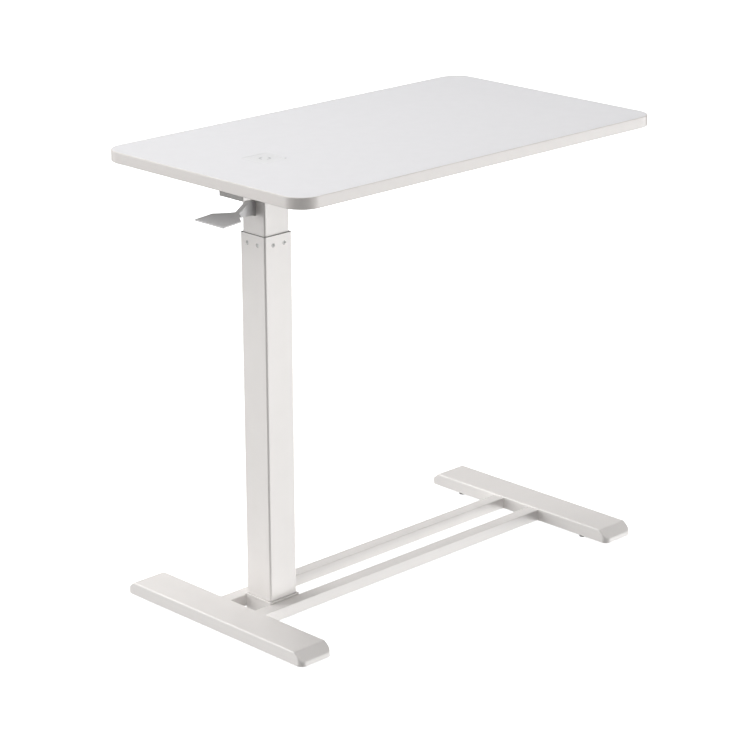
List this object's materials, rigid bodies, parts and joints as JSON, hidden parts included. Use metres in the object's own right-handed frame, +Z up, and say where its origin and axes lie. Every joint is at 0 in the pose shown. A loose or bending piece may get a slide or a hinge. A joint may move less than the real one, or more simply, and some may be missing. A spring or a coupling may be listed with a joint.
{
  "type": "overbed table",
  "caption": "Height-adjustable C-shaped overbed table: rectangular top cantilevered from a square gas-spring column on a low H base with hidden swivel casters.",
  "frame": {"origin": "on the floor, under the middle of the tabletop, with the top at its lowest height", "axes": "+X along the tabletop away from the column, +Y along the feet, +Z up"},
  "size_m": [0.7, 0.4, 0.663],
  "materials": {
    "laminate_board": "matte white laminate",
    "edge_plastic": "satin",
    "label_film": "satin",
    "white_steel": "satin powder coat",
    "grey_plastic": "matte",
    "glide_plastic": "matte",
    "black_plastic": "matte",
    "zinc_steel": "bright zinc",
    "dark_steel": "satin black",
    "chrome_steel": "polished"
  },
  "bodies": {
    "base": {"beam_front": "white_steel", "beam_rear": "white_steel", "caster_left_front_mount": "zinc_steel", "caster_left_rear_mount": "zinc_steel", "caster_right_front_mount": "zinc_steel", "caster_right_rear_mount": "zinc_steel", "column_base_plate": "white_steel", "column_bolt_1": "zinc_steel", "column_bolt_2": "zinc_steel", "column_bolt_3": "zinc_steel", "column_bolt_4": "zinc_steel", "cross_member": "white_steel", "foot_bolt_left_front": "zinc_steel", "foot_bolt_left_rear": "zinc_steel", "foot_bolt_right_front": "zinc_steel", "foot_bolt_right_rear": "zinc_steel", "foot_column_end": "white_steel", "foot_far_end": "white_steel", "outer_tube": "white_steel", "piston": "zinc_steel", "piston_rod": "chrome_steel", "rod_clip": "zinc_steel", "upper_glide": "glide_plastic"},
    "lift": {"tabletop": "laminate_board", "edge_band": "edge_plastic", "top_label": "label_film", "support_arm": "white_steel", "arm_plug_column_end": "grey_plastic", "arm_plug_far_end": "grey_plastic", "mounting_bar_near": "white_steel", "mounting_bar_far": "white_steel", "inner_tube": "white_steel", "lower_glide": "glide_plastic", "gas_spring_cylinder": "dark_steel", "gas_spring_guide": "glide_plastic", "spring_plate": "zinc_steel", "spring_nut": "zinc_steel", "lever_pivot_pin": "zinc_steel", "wood_screw_far_front": "zinc_steel", "wood_screw_far_rear": "zinc_steel", "wood_screw_near_front": "zinc_steel", "wood_screw_near_rear": "zinc_steel"},
    "lever": {"release_lever": "white_steel"},
    "release_pin": {"release_pin": "chrome_steel"},
    "caster_left_front_swivel": {"caster_left_front_hood": "black_plastic", "caster_left_front_axle": "zinc_steel"},
    "caster_left_front_wheel_a_body": {"caster_left_front_wheel_a": "black_plastic"},
    "caster_left_front_wheel_b_body": {"caster_left_front_wheel_b": "black_plastic"},
    "caster_left_rear_swivel": {"caster_left_rear_hood": "black_plastic", "caster_left_rear_axle": "zinc_steel"},
    "caster_left_rear_wheel_a_body": {"caster_left_rear_wheel_a": "black_plastic"},
    "caster_left_rear_wheel_b_body": {"caster_left_rear_wheel_b": "black_plastic"},
    "caster_right_front_swivel": {"caster_right_front_hood": "black_plastic", "caster_right_front_axle": "zinc_steel"},
    "caster_right_front_wheel_a_body": {"caster_right_front_wheel_a": "black_plastic"},
    "caster_right_front_wheel_b_body": {"caster_right_front_wheel_b": "black_plastic"},
    "caster_right_rear_swivel": {"caster_right_rear_hood": "black_plastic", "caster_right_rear_axle": "zinc_steel"},
    "caster_right_rear_wheel_a_body": {"caster_right_rear_wheel_a": "black_plastic"},
    "caster_right_rear_wheel_b_body": {"caster_right_rear_wheel_b": "black_plastic"}
  },
  "joints": [
    {"name": "height_lift", "type": "slide", "parent": "base", "child": "lift", "axis": [0, 0, 1], "range_m": [0, 0.32]},
    {"name": "lever_hinge", "type": "hinge", "parent": "lift", "child": "lever", "pos_m": [-0.2462, 0, 0.598], "axis": [0, 1, 0], "range_deg": [0, 10], "stiffness_Nm_per_rad": 1},
    {"name": "release_pin_press", "type": "slide", "parent": "lift", "child": "release_pin", "axis": [0, 0, -1], "range_m": [0, 0.0031]},
    {"name": "caster_left_front_turn", "type": "hinge", "parent": "base", "child": "caster_left_front_swivel", "pos_m": [-0.3159, -0.127, 0.02], "axis": [0, 0, 1], "continuous": true},
    {"name": "caster_left_front_wheel_a_spin", "type": "hinge", "parent": "caster_left_front_swivel", "child": "caster_left_front_wheel_a_body", "pos_m": [-0.32326, -0.13013, 0.012], "axis": [0.3907, -0.9205, 0], "continuous": true},
    {"name": "caster_left_front_wheel_b_spin", "type": "hinge", "parent": "caster_left_front_swivel", "child": "caster_left_front_wheel_b_body", "pos_m": [-0.32326, -0.13013, 0.012], "axis": [0.3907, -0.9205, 0], "continuous": true},
    {"name": "caster_left_rear_turn", "type": "hinge", "parent": "base", "child": "caster_left_rear_swivel", "pos_m": [-0.3159, 0.127, 0.02], "axis": [0, 0, 1], "continuous": true},
    {"name": "caster_left_rear_wheel_a_spin", "type": "hinge", "parent": "caster_left_rear_swivel", "child": "caster_left_rear_wheel_a_body", "pos_m": [-0.32326, 0.12387, 0.012], "axis": [0.3907, -0.9205, 0], "continuous": true},
    {"name": "caster_left_rear_wheel_b_spin", "type": "hinge", "parent": "caster_left_rear_swivel", "child": "caster_left_rear_wheel_b_body", "pos_m": [-0.32326, 0.12387, 0.012], "axis": [0.3907, -0.9205, 0], "continuous": true},
    {"name": "caster_right_front_turn", "type": "hinge", "parent": "base", "child": "caster_right_front_swivel", "pos_m": [0.3102, -0.127, 0.02], "axis": [0, 0, 1], "continuous": true},
    {"name": "caster_right_front_wheel_a_spin", "type": "hinge", "parent": "caster_right_front_swivel", "child": "caster_right_front_wheel_a_body", "pos_m": [0.30284, -0.13013, 0.012], "axis": [0.3907, -0.9205, 0], "continuous": true},
    {"name": "caster_right_front_wheel_b_spin", "type": "hinge", "parent": "caster_right_front_swivel", "child": "caster_right_front_wheel_b_body", "pos_m": [0.30284, -0.13013, 0.012], "axis": [0.3907, -0.9205, 0], "continuous": true},
    {"name": "caster_right_rear_turn", "type": "hinge", "parent": "base", "child": "caster_right_rear_swivel", "pos_m": [0.3102, 0.127, 0.02], "axis": [0, 0, 1], "continuous": true},
    {"name": "caster_right_rear_wheel_a_spin", "type": "hinge", "parent": "caster_right_rear_swivel", "child": "caster_right_rear_wheel_a_body", "pos_m": [0.30284, 0.12387, 0.012], "axis": [0.3907, -0.9205, 0], "continuous": true},
    {"name": "caster_right_rear_wheel_b_spin", "type": "hinge", "parent": "caster_right_rear_swivel", "child": "caster_right_rear_wheel_b_body", "pos_m": [0.30284, 0.12387, 0.012], "axis": [0.3907, -0.9205, 0], "continuous": true}
  ],
  "couplings": [
    {"joint": "release_pin_press", "follows": "lever_hinge", "m_per_rad": 0.0175}
  ]
}
